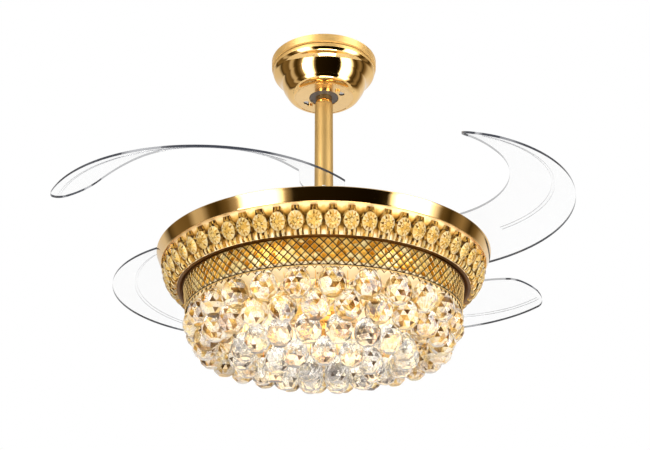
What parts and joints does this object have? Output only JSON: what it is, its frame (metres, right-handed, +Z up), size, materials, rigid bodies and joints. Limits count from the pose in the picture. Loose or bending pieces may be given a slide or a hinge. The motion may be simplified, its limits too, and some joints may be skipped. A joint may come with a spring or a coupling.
{
  "type": "chandelier ceiling fan",
  "caption": "Ceiling fan with folding clear crescent blades above a round gold lamp body with crystal and lattice bands and a dome of hanging crystal balls, on a short downrod.",
  "frame": {"origin": "centre of the ceiling bracket's top face, where it meets the ceiling", "axes": "+Z up to the ceiling along the downrod; X along the bracket and its two slots; the picture looks along +Y from below"},
  "size_m": [0.7346, 0.7346, 0.5461],
  "materials": {
    "polished_gold": "polished",
    "satin_gold": "satin",
    "amber_gold": "polished",
    "zinc_steel": "satin",
    "shaft_steel": "machined",
    "grey_ball": "matte",
    "crystal": "polished",
    "clear_acrylic": "clear gloss",
    "white_plastic": "matte",
    "frosted_plastic": "frosted",
    "white_board": "matte",
    "cast_aluminium": "cast",
    "lamination_steel": "raw",
    "copper_wire": "enamelled",
    "magnet": "raw",
    "gear_nylon": "matte",
    "spring_steel": "tempered"
  },
  "bodies": {
    "lamp_frame": {"ceiling_bracket": "zinc_steel", "canopy": "polished_gold", "canopy_screws": "polished_gold", "hanger_ball": "grey_ball", "hanger_pin": "shaft_steel", "remote_receiver": "white_plastic", "downrod": "polished_gold", "rod_sleeve": "satin_gold", "coupler": "zinc_steel", "coupler_bolts": "shaft_steel", "coupler_cover": "polished_gold", "motor_shaft": "shaft_steel", "shaft_nut": "zinc_steel", "stator_core": "lamination_steel", "stator_windings": "copper_wire", "body_pan": "polished_gold", "top_ring": "polished_gold", "gem_wall": "polished_gold", "crystal_gems": "crystal", "step_ring": "polished_gold", "lattice_band": "polished_gold", "lattice_liner": "amber_gold", "chassis_plate": "amber_gold", "support_posts": "zinc_steel", "plate_screws": "zinc_steel", "led_driver": "white_plastic", "led_boards": "white_board", "led_lenses": "frosted_plastic", "ball_tier_1": "crystal", "ball_tier_2": "crystal", "ball_tier_3": "crystal", "ball_tier_4": "crystal", "ball_tier_5": "crystal", "ball_tier_6": "crystal", "ball_pins": "polished_gold", "center_cup": "polished_gold", "center_stud": "polished_gold"},
    "rotor": {"lower_bearing": "shaft_steel", "upper_bearing": "shaft_steel", "rotor_lower_shell": "cast_aluminium", "rotor_upper_shell": "cast_aluminium", "magnet_ring": "magnet", "rotor_screws": "zinc_steel", "blade_carrier": "zinc_steel", "pivot_caps": "zinc_steel", "gear_cover": "polished_gold", "return_spring": "spring_steel"},
    "sync_gear": {"sun_gear": "gear_nylon"},
    "blade_arm_1": {"blade_1": "clear_acrylic", "pinion_1": "gear_nylon", "blade_screws_1": "zinc_steel"},
    "blade_arm_2": {"blade_2": "clear_acrylic", "pinion_2": "gear_nylon", "blade_screws_2": "zinc_steel"},
    "blade_arm_3": {"blade_3": "clear_acrylic", "pinion_3": "gear_nylon", "blade_screws_3": "zinc_steel"},
    "blade_arm_4": {"blade_4": "clear_acrylic", "pinion_4": "gear_nylon", "blade_screws_4": "zinc_steel"}
  },
  "joints": [
    {"name": "rotor_spin", "type": "hinge", "parent": "lamp_frame", "child": "rotor", "pos_m": [0, 0, -0.355], "axis": [0, 0, 1], "continuous": true},
    {"name": "blade_1_fold", "type": "hinge", "parent": "rotor", "child": "blade_arm_1", "pos_m": [0, -0.14, -0.3327], "axis": [0, 0, 1], "range_deg": [-78, 52]},
    {"name": "blade_2_fold", "type": "hinge", "parent": "rotor", "child": "blade_arm_2", "pos_m": [-0.14, 0, -0.3327], "axis": [0, 0, 1], "range_deg": [-78, 52]},
    {"name": "blade_3_fold", "type": "hinge", "parent": "rotor", "child": "blade_arm_3", "pos_m": [0.14, 0, -0.3327], "axis": [0, 0, 1], "range_deg": [-78, 52]},
    {"name": "blade_4_fold", "type": "hinge", "parent": "rotor", "child": "blade_arm_4", "pos_m": [0, 0.14, -0.3327], "axis": [0, 0, 1], "range_deg": [-78, 52]},
    {"name": "sync_gear_turn", "type": "hinge", "parent": "rotor", "child": "sync_gear", "pos_m": [0, 0, -0.3327], "axis": [0, 0, 1], "range_deg": [-20.8, 31.2]}
  ],
  "couplings": [
    {"joint": "blade_2_fold", "follows": "blade_1_fold", "ratio": 1},
    {"joint": "blade_3_fold", "follows": "blade_1_fold", "ratio": 1},
    {"joint": "blade_4_fold", "follows": "blade_1_fold", "ratio": 1},
    {"joint": "sync_gear_turn", "follows": "blade_1_fold", "ratio": -0.4}
  ]
}
